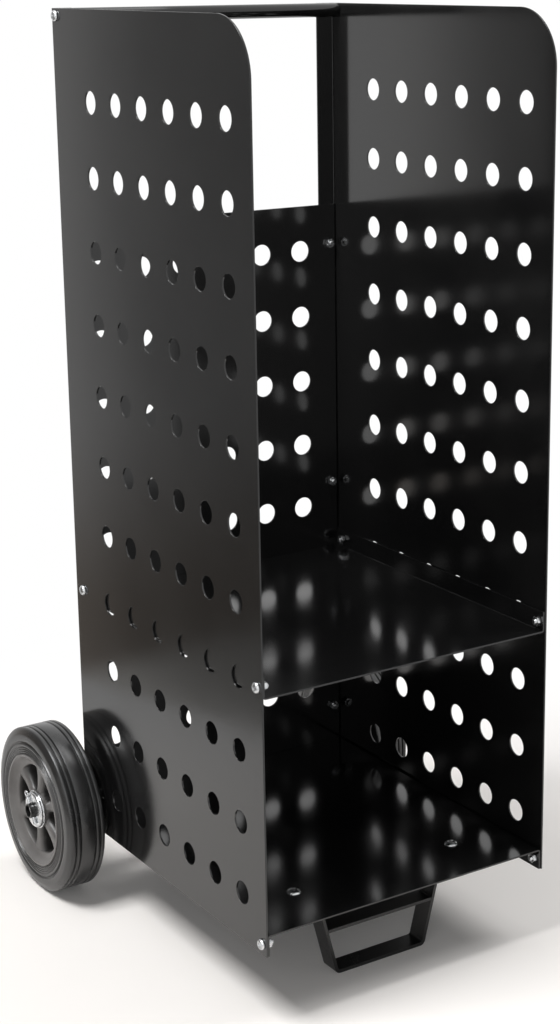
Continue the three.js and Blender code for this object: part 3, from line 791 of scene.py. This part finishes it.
def hexagon_nut(height):
    """Hexagon nut, its corners chamfered at both faces."""
    steps = 48
    corner = NUT_APOTHEM / math.cos(math.pi / 6)
    chamfer = NUT_APOTHEM * 0.98

    def hexagon(radius, angle):
        side = NUT_APOTHEM / math.cos((angle + math.pi / 6) % (math.pi / 3) - math.pi / 6)
        return min(radius, side)

    bm = bmesh.new()
    rings = []
    for radius, x in (
        (SCREW_RADIUS + 0.1 * MM, 0.35 * MM), (SCREW_RADIUS + 0.5 * MM, 0), (chamfer, 0),
        (corner * 0.975, 0.32 * MM), (corner, 0.65 * MM), (corner, height - 0.65 * MM),
        (corner * 0.975, height - 0.32 * MM), (chamfer, height), (SCREW_RADIUS + 0.5 * MM, height),
        (SCREW_RADIUS + 0.1 * MM, height - 0.35 * MM),
    ):
        rings.append(ring(bm, radius, x, steps, hexagon))
    for a, b in zip(rings, rings[1:] + rings[:1]):
        bridge(bm, a, b)
    return finished("hexagon nut", bm, 26)


copies = copies_tree()


def fastener_set(name, unit, nodes, seat, seed):
    """Copies of one fastener on its solids' places; seat(node) gives a seat point and a direction."""
    mesh = bpy.data.meshes.new(name)
    spots = [seat(n) for n in nodes]
    mesh.from_pydata([point for point, _ in spots], [], [])
    facing = mesh.attributes.new("facing", "FLOAT_VECTOR", "POINT")
    facing.data.foreach_set("vector", [c for _, direction in spots for c in direction])
    piece = bpy.data.objects.new(name, mesh)
    bpy.context.scene.collection.objects.link(piece)
    run_tree(piece, copies, {"Fastener": unit, "Seed": seed, "Finish": zinc}, 34)
    bpy.data.objects.remove(unit)
    return hand_over(piece, "cart_frame", "zinc_plate", zinc, *nodes)


def seat_of(node_name, direction, head_height):
    """Seat point of a fastener whose head, this high, looks along direction."""
    low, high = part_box(node_name)
    facing = Vector(direction)
    middle = (low + high) / 2
    reach = Vector([abs(c) for c in (high - low) / 2]).dot(Vector([abs(c) for c in facing]))
    return middle + facing * (reach - head_height), facing


def outward(side_name):
    return (SIDES[side_name], 0, 0)


def screw_facing(node_name):
    side_name = "left" if "_left" in node_name else "right"
    if node_name.startswith(("back_panel", "bracket")):
        return (0, 1, 0)
    return outward(side_name)


def screw_seat(node_name):
    return seat_of(node_name, screw_facing(node_name), SCREW_HEAD_HEIGHT)


def nut_seat(node_name):
    facing = (0, 0, -1) if node_name.startswith("foot") else tuple(-c for c in screw_facing(node_name))
    return seat_of(node_name, facing, nut_height)


def length_of(node_name, axis):
    low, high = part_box(node_name)
    return (high - low)[axis]


panel_screws = [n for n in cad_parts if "_screw_" in n and not n.startswith(("handle", "bracket"))]
bracket_screws = [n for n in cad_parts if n.startswith("bracket_screw")]
handle_screws = [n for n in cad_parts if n.startswith("handle_screw")]
foot_bolts = [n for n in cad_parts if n.startswith("foot_bolt")]
nuts = [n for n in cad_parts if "_nut_" in n]
nut_height = length_of("foot_nut_left", 2)

panel_length = length_of("upper_shelf_screw_left_front", 0) - SCREW_HEAD_HEIGHT
bracket_length = length_of("bracket_screw_left_upper", 1) - SCREW_HEAD_HEIGHT
handle_length = length_of("handle_screw_left", 0) - SCREW_HEAD_HEIGHT
bolt_length = length_of("foot_bolt_left", 2) - BOLT_HEAD_HEIGHT

for set_name, length, nodes, seed in (
    ("panel_screws", panel_length, panel_screws, 3),
    ("bracket_screws", bracket_length, bracket_screws, 5),
    ("handle_screws", handle_length, handle_screws, 8),
):
    fastener_set(set_name, crossed_screw(length, length - THREADED_TAIL), sorted(nodes), screw_seat, seed)
fastener_set("foot_bolts", round_bolt(bolt_length, bolt_length - THREADED_TAIL), sorted(foot_bolts),
             lambda n: seat_of(n, (0, 0, 1), BOLT_HEAD_HEIGHT), 2)
fastener_set("nuts", hexagon_nut(nut_height), sorted(nuts), nut_seat, 11)


def flat_washer(node_name):
    """Flat washer with eased edges, standing on the Z axis."""
    low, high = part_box(node_name)
    radius = WASHER_RADIUS
    half = (high.z - low.z) / 2
    edge = 0.25 * MM
    profile = both_sides([(SCREW_RADIUS + 0.35 * MM, half), (radius - edge, half), (radius, half - edge)])
    washer = turned(f"{node_name}_plate", profile, 40)
    washer.data.transform(Matrix.Translation((low + high) / 2) @ Matrix.Rotation(math.pi / 2, 4, "Y"))
    return hand_over(washer, "cart_frame", "zinc_plate", zinc, node_name)


for side_name in SIDES:
    flat_washer(f"foot_washer_{side_name}")


# ------------------------------------------------------------------ foot

def close_tube(bm, rings):
    """Skin over a row of rings, with a face on each end."""
    bm.faces.new(rings[0])
    bm.faces.new(rings[-1])
    for a, b in zip(rings, rings[1:]):
        bridge(bm, a, b)


def add_weld_bead(bm, x, z, low_y, high_y, steps=26, around=8):
    """Rippled weld bead along Y, thin at both ends."""
    margin = 1.2 * MM
    rings = []
    for i in range(steps + 1):
        share = i / steps
        y = low_y + margin + share * (high_y - low_y - 2 * margin)
        taper = min(1, 9 * share + 0.3, 9 * (1 - share) + 0.3)
        swell = 1.5 * MM * (0.9 + 0.12 * math.sin(share * 40)) * taper
        rings.append([bm.verts.new((
            x + swell * math.cos(2 * math.pi * j / around),
            y,
            z + swell * 0.8 * math.sin(2 * math.pi * j / around),
        )) for j in range(around)])
    close_tube(bm, rings)


def foot():
    """Bent flat strap with a bar welded across its legs."""
    low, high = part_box("front_foot")
    thickness = STRAP
    half = thickness / 2
    bottom = (FOOT_HALF_BASE - half, low.z + half)
    top = (FOOT_HALF_TOP - half, high.z - half)
    right = [bottom, top, (high.x, top[1])]
    left = [(-x, z) for x, z in reversed(right)]
    section = strip_outline(left + right, thickness, STRAP_BEND, 6)
    strap = prism("foot_strap", section, lengthwise, low.y, high.y)
    bar_top = low.z + FOOT_BAR_HEIGHT
    bar_bottom = bar_top - thickness
    lean = (top[0] - bottom[0]) / (top[1] - bottom[1])

    def leg(z):
        return bottom[0] + (z - bottom[1]) * lean

    inset = 0.3 * MM
    bar = prism("bar", [
        (-leg(bar_bottom), bar_bottom), (leg(bar_bottom), bar_bottom),
        (leg(bar_top), bar_top), (-leg(bar_top), bar_top),
    ], lengthwise, low.y + inset, high.y - inset)
    cut_with(strap, bar, "UNION")
    ease_edges(strap, 0.5 * MM, 2, 40)
    bm = bmesh.new()
    bm.from_mesh(strap.data)
    for side in SIDES.values():
        for level in (bar_top, bar_bottom):
            add_weld_bead(bm, side * (leg(level) - half - 0.2 * MM), level, low.y, high.y)
    bpy.data.objects.remove(strap)
    strap = finished("foot_strap", bm, 40)
    return hand_over(strap, "cart_frame", "black_satin_coat", black_satin, "front_foot")


foot()


# ------------------------------------------------------------------ axle and brackets

tyre_low, tyre_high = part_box("tyre_left")
AXLE_Y = (tyre_low.y + tyre_high.y) / 2
AXLE_Z = (tyre_low.z + tyre_high.z) / 2


def axle():
    """Axle tube, open at both ends."""
    low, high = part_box("axle_tube")
    edge = 0.6 * MM
    profile = both_sides([
        (AXLE_BORE, high.x - edge * 0.5), (AXLE_BORE + edge * 0.5, high.x),
        (AXLE_RADIUS - edge, high.x), (AXLE_RADIUS, high.x - edge),
    ])
    tube = turned("axle", profile, 56)
    tube.data.transform(Matrix.Translation((0, AXLE_Y, AXLE_Z)))
    return hand_over(tube, "cart_frame", "black_satin_coat", black_satin, "axle_tube")


axle()


def bracket(side_name):
    """Folded bracket with a rounded eye for the axle."""
    side = SIDES[side_name]
    low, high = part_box(f"axle_bracket_{side_name}")
    outer, inner = (low.x, high.x) if side < 0 else (high.x, low.x)
    thickness = BRACKET_SHEET
    half = thickness / 2
    plan = strip_outline([
        (inner, low.y + half), (outer - side * half, low.y + half), (outer - side * half, high.y),
    ], thickness, BRACKET_BEND, 6)
    plate = prism(f"bracket_{side_name}", plan, upright, low.z - MM, high.z + MM)
    eye = high.y - AXLE_Y
    ear_y = low.y + 2 * thickness
    away = Vector((ear_y - AXLE_Y, high.z - AXLE_Z))
    slope_end = math.degrees(math.atan2(away.y, away.x) - math.acos(eye / away.length))
    outline = [(low.y - MM, high.z), (low.y - MM, AXLE_Z - eye)]
    outline += arc((AXLE_Y, AXLE_Z), eye, -90, slope_end, 40)
    outline += [(ear_y, high.z)]
    cut_with(plate, prism("shape", outline, across, low.x - MM, high.x + MM), "INTERSECT")
    hole = turned("hole", [(0, low.x - MM), (AXLE_RADIUS + 0.3 * MM, low.x - MM),
                           (AXLE_RADIUS + 0.3 * MM, high.x + MM), (0, high.x + MM)], 48)
    hole.data.transform(Matrix.Translation((0, AXLE_Y, AXLE_Z)))
    cut_with(plate, hole)
    ease_edges(plate, 0.35 * MM)
    return hand_over(plate, "cart_frame", "black_satin_coat", black_satin, f"axle_bracket_{side_name}")


for side_name in SIDES:
    bracket(side_name)


# ------------------------------------------------------------------ wheels
# In a wheel's own frame +X points away from the cart and the wheel's middle plane is at 0.

def outward_frame(side_name, x):
    """Puts the frame whose +X points outwards at this distance from the middle of the cart."""
    turn = Matrix.Rotation(math.pi if SIDES[side_name] < 0 else 0, 4, "Z")
    return Matrix.Translation((SIDES[side_name] * x, AXLE_Y, AXLE_Z)) @ turn


def middle_x(node_name):
    low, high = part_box(node_name)
    return abs(low.x + high.x) / 2


def inner_x(node_name):
    low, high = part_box(node_name)
    return min(abs(low.x), abs(high.x))


def millimetres(pairs):
    return [(radius * MM, x * MM) for radius, x in pairs]


def tyre_profile():
    """Half the tyre's section: tread grooves, chamfered shoulder, ring groove, fine ridges and bore."""
    bore, bead = 68.3, 8.0
    half = [(100, 0.0)]
    for groove in (9.5, 15.5):
        half += [
            (100, groove - 1.5), (99.85, groove - 1.2), (98.2, groove - 0.25), (98.0, groove),
            (98.2, groove + 0.25), (99.85, groove + 1.2), (100, groove + 1.5),
        ]
    half += [
        (100, 19.4), (99.85, 20.2), (99.4, 20.9), (98.7, 21.5), (96.2, 22.6), (93.6, 23.6),
        (92.6, 23.95), (91.6, 24.2), (90.2, 24.35), (86.6, 24.5), (84.6, 24.55), (83.9, 24.3),
        (83.3, 23.7), (82.8, 23.0), (82.0, 22.7), (81.2, 23.0), (80.8, 23.8), (80.5, 24.6),
        (80.1, 24.9), (79.5, 25.0), (78.2, 25.0), (77.9, 24.85),
    ]
    for ridge in (77.5, 75.1, 72.7, 70.3):
        half += [
            (ridge, 24.3), (ridge - 0.8, 24.15), (ridge - 1.0, 24.3), (ridge - 1.25, 24.85),
            (ridge - 1.6, 25.0), (ridge - 2.1, 25.0), (ridge - 2.25, 24.85),
        ]
    half = half[:-3] + [(bore, 24.4), (bore, bead), (bore + 3, 0.0)]
    return millimetres(half)


def tyre(side_name):
    half = tyre_profile()
    profile = [(radius, -x) for radius, x in reversed(half[1:])] + half[:-1]
    rubber_ring = turned(f"tyre_ring_{side_name}", profile, 168, 30)
    rubber_ring.data.transform(outward_frame(side_name, middle_x(f"tyre_{side_name}")))
    return hand_over(rubber_ring, f"{side_name}_wheel", "tyre_rubber", rubber, f"tyre_{side_name}")


def spoke():
    """One spoke along +Y with a rounded section, flared where it meets the hub and the barrel."""
    bm = bmesh.new()
    start, end, steps, around = 20.6, 57.0, 30, 28
    face = 18.0
    rings = []
    for i in range(steps + 1):
        reach = start + (end - start) * i / steps
        width = 13.5 + 9.5 * (reach - start) / (end - start)
        if reach > 44:
            width += 17 * (1 - math.sqrt(max(0, 1 - ((reach - 44) / 13.2) ** 2)))
        if reach < 29:
            width += 8 * (1 - math.sqrt(max(0, 1 - ((29 - reach) / 8.6) ** 2)))
        level = face - 1.1 * math.sin(math.pi * i / steps)
        made = []
        for j in range(around):
            angle = 2 * math.pi * (j + 0.5) / around
            across_share = math.copysign(abs(math.sin(angle)) ** 0.62, math.sin(angle))
            face_share = math.copysign(abs(math.cos(angle)) ** 0.55, math.cos(angle))
            made.append(bm.verts.new((face_share * level * MM, reach * MM, across_share * width / 2 * MM)))
        rings.append(made)
    close_tube(bm, rings)
    return finished("spoke", bm)


spoke_ring = spokes_tree()


def rim(side_name):
    """Moulded rim: a dished barrel and a hub joined by six flared spokes."""
    barrel = [
        (54.0, 0.0), (54.0, 16.6), (54.3, 17.4), (55.0, 17.9), (57.2, 18.5), (59.6, 19.7),
        (61.8, 21.4), (63.6, 23.4), (64.9, 25.2), (65.3, 25.75), (65.8, 26.0), (67.2, 26.0),
        (67.75, 25.8), (68.0, 25.3), (68.0, 8.0), (71.0, 0.0),
    ]
    half = millimetres(barrel)
    bm = bmesh.new()
    add_turned(bm, [(radius, -x) for radius, x in reversed(half[1:])] + half[:-1], 144)
    bore, hub, end = AXLE_RADIUS + 0.1 * MM, HUB_RADIUS, HUB_HALF_LENGTH
    add_turned(bm, both_sides([
        (bore, end - 0.6 * MM), (bore + 0.6 * MM, end), (hub - 1.6 * MM, end),
        (hub - 0.5 * MM, end - 0.5 * MM), (hub, end - 1.6 * MM),
    ]), 72)
    wheel = finished(f"spoked_rim_{side_name}", bm)
    bar = spoke()
    run_tree(wheel, spoke_ring, {
        "Spoke": bar, "Count": SPOKES, "First Angle": math.radians(FIRST_SPOKE), "Finish": grey_plastic,
    }, 38)
    bpy.data.objects.remove(bar)
    wheel.data.transform(outward_frame(side_name, middle_x(f"wheel_rim_{side_name}")))
    return hand_over(wheel, f"{side_name}_wheel", "grey_plastic", grey_plastic, f"wheel_rim_{side_name}")


def spacer(side_name):
    """Sleeve between a side panel and a hub."""
    low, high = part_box(f"axle_spacer_{side_name}")
    length, edge = high.x - low.x, 0.4 * MM
    radius, bore = 13 * MM, AXLE_RADIUS + 0.3 * MM
    sleeve = turned(f"spacer_{side_name}", [
        (bore, 0), (radius - edge, 0), (radius, edge),
        (radius, length - edge), (radius - edge, length), (bore, length),
    ], 56)
    sleeve.data.transform(outward_frame(side_name, inner_x(f"axle_spacer_{side_name}")))
    return hand_over(sleeve, "cart_frame", "zinc_plate", zinc, f"axle_spacer_{side_name}")


def cap_washer(side_name):
    """Thick pressed washer: a thin flange against the hub, a rounded edge and a flat face."""
    bore = 9.3
    profile = [
        (bore, 0), (22.7, 0), (23, 0.3), (23, 1.2), (22.8, 1.45), (21.9, 1.6), (21.75, 2.0),
        (21.95, 2.9), (21.85, 3.9), (21.4, 4.9), (20.6, 5.65), (19.6, 5.95), (18.6, 6.0),
        (10.4, 6.0), (bore, 5.4),
    ]
    washer = turned(f"cap_washer_{side_name}", millimetres(profile), 80, 28)
    washer.data.transform(outward_frame(side_name, inner_x(f"wheel_washer_{side_name}")))
    return hand_over(washer, "cart_frame", "zinc_plate", zinc, f"wheel_washer_{side_name}")


def add_half_round_leg(bm, side, radius, start, end, steps=12):
    """One leg of a split pin: half a round wire, flat towards its twin."""
    gap = 0.06 * MM
    rings = []
    for i in range(steps + 1):
        share = i / steps
        z = start + (end - start) * share
        splay = 0.9 * MM * max(0.0, share - 0.8) * 5 * side
        shrink = 1.0 if share < 0.97 else 0.8
        made = []
        for j in range(11):
            angle = math.pi * (j / 10 - 0.5)
            made.append(bm.verts.new((
                radius * shrink * math.sin(angle),
                side * (gap + (radius - gap) * shrink * math.cos(angle)) + splay,
                z,
            )))
        rings.append(made)
    close_tube(bm, rings)


def split_pin(side_name):
    """Split pin with a round eye on top of two half-round legs."""
    length, radius = 34 * MM, 1.6 * MM
    eye_radius, wire = 3.55 * MM, 0.85 * MM
    bm = bmesh.new()
    for side in (-1, 1):
        add_half_round_leg(bm, side, radius, length / 2, -length / 2)
    steps, around = 40, 12
    rings = []
    for i in range(steps + 1):
        angle = math.radians(-90 + 14 + (360 - 28) * i / steps)
        centre = Vector((0, eye_radius * math.cos(angle), length / 2 + eye_radius + eye_radius * math.sin(angle)))
        out = Vector((0, math.cos(angle), math.sin(angle)))
        made = []
        for j in range(around):
            turn = 2 * math.pi * j / around
            made.append(bm.verts.new(centre + (out * math.cos(turn) + Vector((1, 0, 0)) * math.sin(turn)) * wire))
        rings.append(made)
    close_tube(bm, rings)
    pin = finished(f"pin_{side_name}", bm, 40)
    lean = math.radians(33)
    middle = middle_x(f"split_pin_{side_name}")
    pin.data.transform(outward_frame(side_name, middle) @ Matrix.Rotation(lean, 4, "X"))
    return hand_over(pin, "cart_frame", "zinc_plate", zinc, f"split_pin_{side_name}")


for side_name in SIDES:
    tyre(side_name)
    rim(side_name)
    spacer(side_name)
    cap_washer(side_name)
    split_pin(side_name)


# ------------------------------------------------------------------ studio

def stage_object(name, corners):
    mesh = bpy.data.meshes.new(name)
    mesh.from_pydata(corners, [], [tuple(range(len(corners)))])
    made = bpy.data.objects.new(name, mesh)
    bpy.context.scene.collection.objects.link(made)
    return made


def seen_rays(tree):
    """1 for rays that come from the camera, from glossy surfaces or through clear ones."""
    path = node(tree, "ShaderNodeLightPath")
    seen = math_node(tree, "MAXIMUM", path.outputs["Is Camera Ray"], path.outputs["Is Glossy Ray"])
    return math_node(tree, "MAXIMUM", seen, path.outputs["Is Transmission Ray"])


def studio_floor():
    """Pale floor: it takes the shadow of the cart, and away from it reaches the white of the background."""
    reach = 14
    floor = stage_object("floor", [(-reach, -reach, -0.0004), (reach, -reach, -0.0004),
                                   (reach, reach, -0.0004), (-reach, reach, -0.0004)])
    material = bpy.data.materials.new("pale_floor")
    material.use_nodes = True
    tree = material.node_tree
    tree.nodes.clear()
    place = node(tree, "ShaderNodeTexCoord").outputs["Object"]
    paper = blended(tree, noise(tree, place, 3.0, 3.0), (0.92, 0.885, 0.855, 1.0), (0.95, 0.92, 0.89, 1.0))
    matt = node(tree, "ShaderNodeBsdfDiffuse", {"Color": paper})
    from_cart = node(tree, "ShaderNodeVectorMath", {0: place}, operation="LENGTH").outputs["Value"]
    away = spread(tree, from_cart, 0.35, 0.95, 0.05, 1.0)
    white = node(tree, "ShaderNodeEmission", {"Color": (1.0, 1.0, 1.0, 1.0), "Strength": 1.0})
    seen = math_node(tree, "MULTIPLY", seen_rays(tree), away)
    both = node(tree, "ShaderNodeMixShader", {0: seen, 1: matt.outputs[0], 2: white.outputs[0]})
    node(tree, "ShaderNodeOutputMaterial", {"Surface": both.outputs[0]})
    floor.data.materials.append(material)


def dark_cards():
    """Glowing cards behind and to the left of the cart, upright and on the floor, seen only in reflections: a
    painted reflection of dim surroundings that keeps the gloss deep.
    """
    back, far = 0.87, -3.0
    near_edge, top, lift = -0.4, 2.6, 0.001
    upright_card = stage_object("upright_card", [
        (near_edge, back, 0.0), (far, back, 0.0), (far, back, top), (near_edge, back, top),
    ])
    low_card = stage_object("low_card", [
        (-0.96, -0.6, lift), (-0.607, 0.435, lift), (-0.458, back, lift), (far, back, lift), (far, -0.6, lift),
    ])
    # painted reflection: the glow is dimmer far to the left, warm low on the floor and near white higher up
    material = bpy.data.materials.new("dark_card")
    material.use_nodes = True
    tree = material.node_tree
    tree.nodes.clear()
    place = node(tree, "ShaderNodeSeparateXYZ", {0: node(tree, "ShaderNodeTexCoord").outputs["Object"]})
    near = spread(tree, place.outputs["X"], -0.7, -0.4, 0.33, 1.0)
    beyond = spread(tree, place.outputs["X"], -0.85, -0.66, 0.82, 1.0)
    upwards = spread(tree, place.outputs["Z"], 0.05, 0.42, 0.0, 1.0)
    on_floor = spread(tree, place.outputs["Y"], 0.75, 0.87, 1.0, 0.0)
    low_tone = blended(tree, on_floor, (0.52, 0.45, 0.39, 1.0), (1.0, 0.97, 0.92, 1.0))
    warm = blended(tree, upwards, low_tone, (1.0, 0.99, 0.98, 1.0))
    glow = node(tree, "ShaderNodeEmission", {
        "Color": warm, "Strength": math_node(tree, "MULTIPLY", near, beyond),
    })
    node(tree, "ShaderNodeOutputMaterial", {"Surface": glow.outputs[0]})
    for card in (upright_card, low_card):
        card.data.materials.append(material)
        card.visible_camera = False
        card.visible_diffuse = False
        card.visible_transmission = False
        card.visible_volume_scatter = False
        card.visible_shadow = False


def studio_world():
    world = bpy.data.worlds.new("studio")
    bpy.context.scene.world = world
    world.use_nodes = True
    tree = world.node_tree
    tree.nodes.clear()
    strength = spread(tree, seen_rays(tree), 0.0, 1.0, 0.2, 1.0)
    sky = node(tree, "ShaderNodeBackground", {"Color": (1.0, 1.0, 1.0, 1.0), "Strength": strength})
    node(tree, "ShaderNodeOutputWorld", {"Surface": sky.outputs[0]})


def softbox(name, place, target, size, power, mirrored=True):
    data = bpy.data.lights.new(name, "AREA")
    data.shape = "SQUARE"
    data.size = size
    data.energy = power
    lamp = bpy.data.objects.new(name, data)
    lamp.location = place
    lamp.rotation_euler = (Vector(target) - Vector(place)).to_track_quat("-Z", "Y").to_euler()
    lamp.visible_glossy = mirrored
    bpy.context.scene.collection.objects.link(lamp)


studio_floor()
dark_cards()
studio_world()
softbox("overhead softbox", (0.0, 0.15, 3.1), (0, 0, 0), 1.75, 16)
softbox("left softbox", (-1.4, 0.0, 3.0), (0, 0, 0), 1.1, 84)
softbox("front softbox", (-2.4, -2.6, 1.9), (0, 0, 0.5), 2.4, 14)
softbox("right softbox", (1.7, -0.55, 2.8), (0, 0, 0), 1.5, 46, False)

camera_data = bpy.data.cameras.new("camera")
camera_data.sensor_width = 36
camera_data.lens = 69.053
camera_data.shift_x = -0.0743
camera_data.shift_y = -0.0373
camera = bpy.data.objects.new("camera", camera_data)
camera.location = (-1.1305, -1.8558, 1.0771)
camera.rotation_euler = tuple(math.radians(angle) for angle in (75.5, 0.373, -33.947))
bpy.context.scene.collection.objects.link(camera)
bpy.context.scene.camera = camera

bpy.context.scene.view_settings.view_transform = "Standard"
